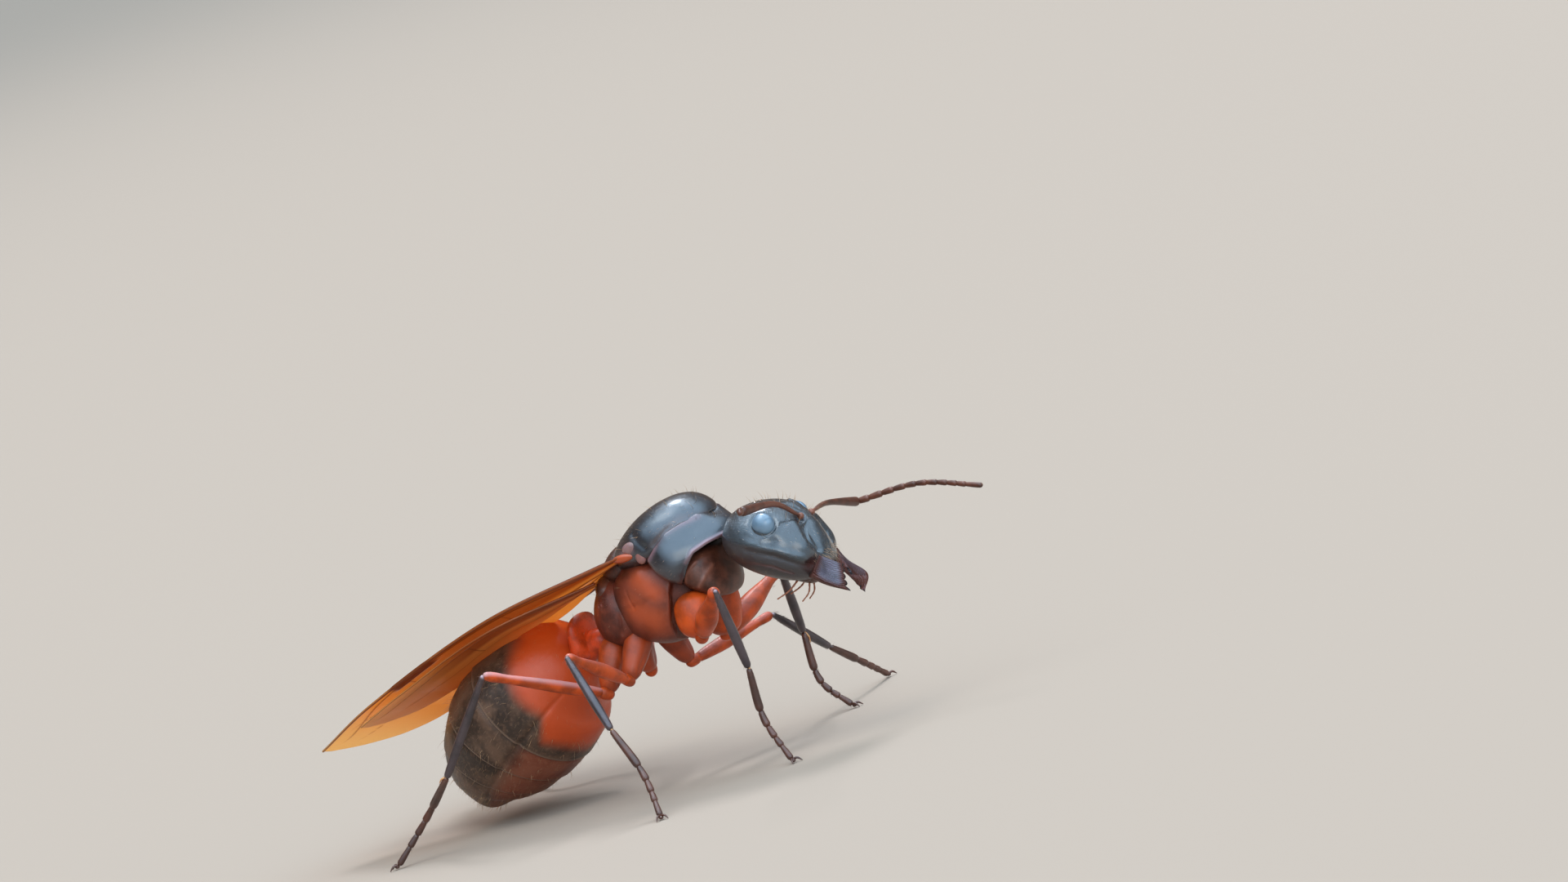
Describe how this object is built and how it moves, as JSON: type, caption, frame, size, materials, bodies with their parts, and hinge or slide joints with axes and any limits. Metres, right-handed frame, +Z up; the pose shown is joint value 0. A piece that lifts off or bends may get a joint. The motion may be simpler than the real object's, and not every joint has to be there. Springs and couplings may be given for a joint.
{
  "type": "winged carpenter ant queen",
  "caption": "Still, life-size model of a winged carpenter ant queen standing on six legs, wings folded back and feelers held forward.",
  "frame": {"origin": "on the floor, under the middle of the whole animal's outline", "axes": "+X the way the ant faces, +Y its left side, +Z up"},
  "size_m": [0.022, 0.0156, 0.0079],
  "materials": {
    "black": "satin black chitin with a blue-grey sheen and a fine net-like texture",
    "eye": "glossy blue-grey compound eye",
    "brown": "satin dark red-brown chitin",
    "rust": "satin rust-red chitin",
    "orange": "glossy translucent orange chitin",
    "shin": "dark brown chitin with a blue-grey sheen and short hairs",
    "foot": "dark brown chitin with bristles",
    "gaster": "satin dark brown chitin, paler bands at the plate edges",
    "wing": "thin amber membrane, translucent, with brown veins"
  },
  "bodies": {
    "root": {"mesoscutum": "black", "pronotum": "black", "scutellum": "brown", "mesopleura": "rust", "propodeum": "rust", "propleura": "brown", "head": "black", "petiole": "rust", "eye_right": "eye", "mandible_right": "brown", "scape_right": "brown", "flagellum_right": "brown", "forewing_right": "wing", "hindwing_right": "wing", "coxa_fore_right": "orange", "femur_fore_right": "orange", "tibia_fore_right": "shin", "tarsus_fore_right": "foot", "coxa_mid_right": "orange", "femur_mid_right": "orange", "tibia_mid_right": "shin", "tarsus_mid_right": "foot", "coxa_hind_right": "orange", "femur_hind_right": "orange", "tibia_hind_right": "shin", "tarsus_hind_right": "foot", "eye_left": "eye", "mandible_left": "brown", "scape_left": "brown", "flagellum_left": "brown", "forewing_left": "wing", "hindwing_left": "wing", "coxa_fore_left": "orange", "femur_fore_left": "orange", "tibia_fore_left": "shin", "tarsus_fore_left": "foot", "coxa_mid_left": "orange", "femur_mid_left": "orange", "tibia_mid_left": "shin", "tarsus_mid_left": "foot", "coxa_hind_left": "orange", "femur_hind_left": "orange", "tibia_hind_left": "shin", "tarsus_hind_left": "foot", "gaster_1": "orange", "gaster_2": "gaster", "gaster_3": "gaster", "gaster_4": "gaster", "gaster_5": "gaster", "mouthparts": "foot"}
  },
  "joints": []
}
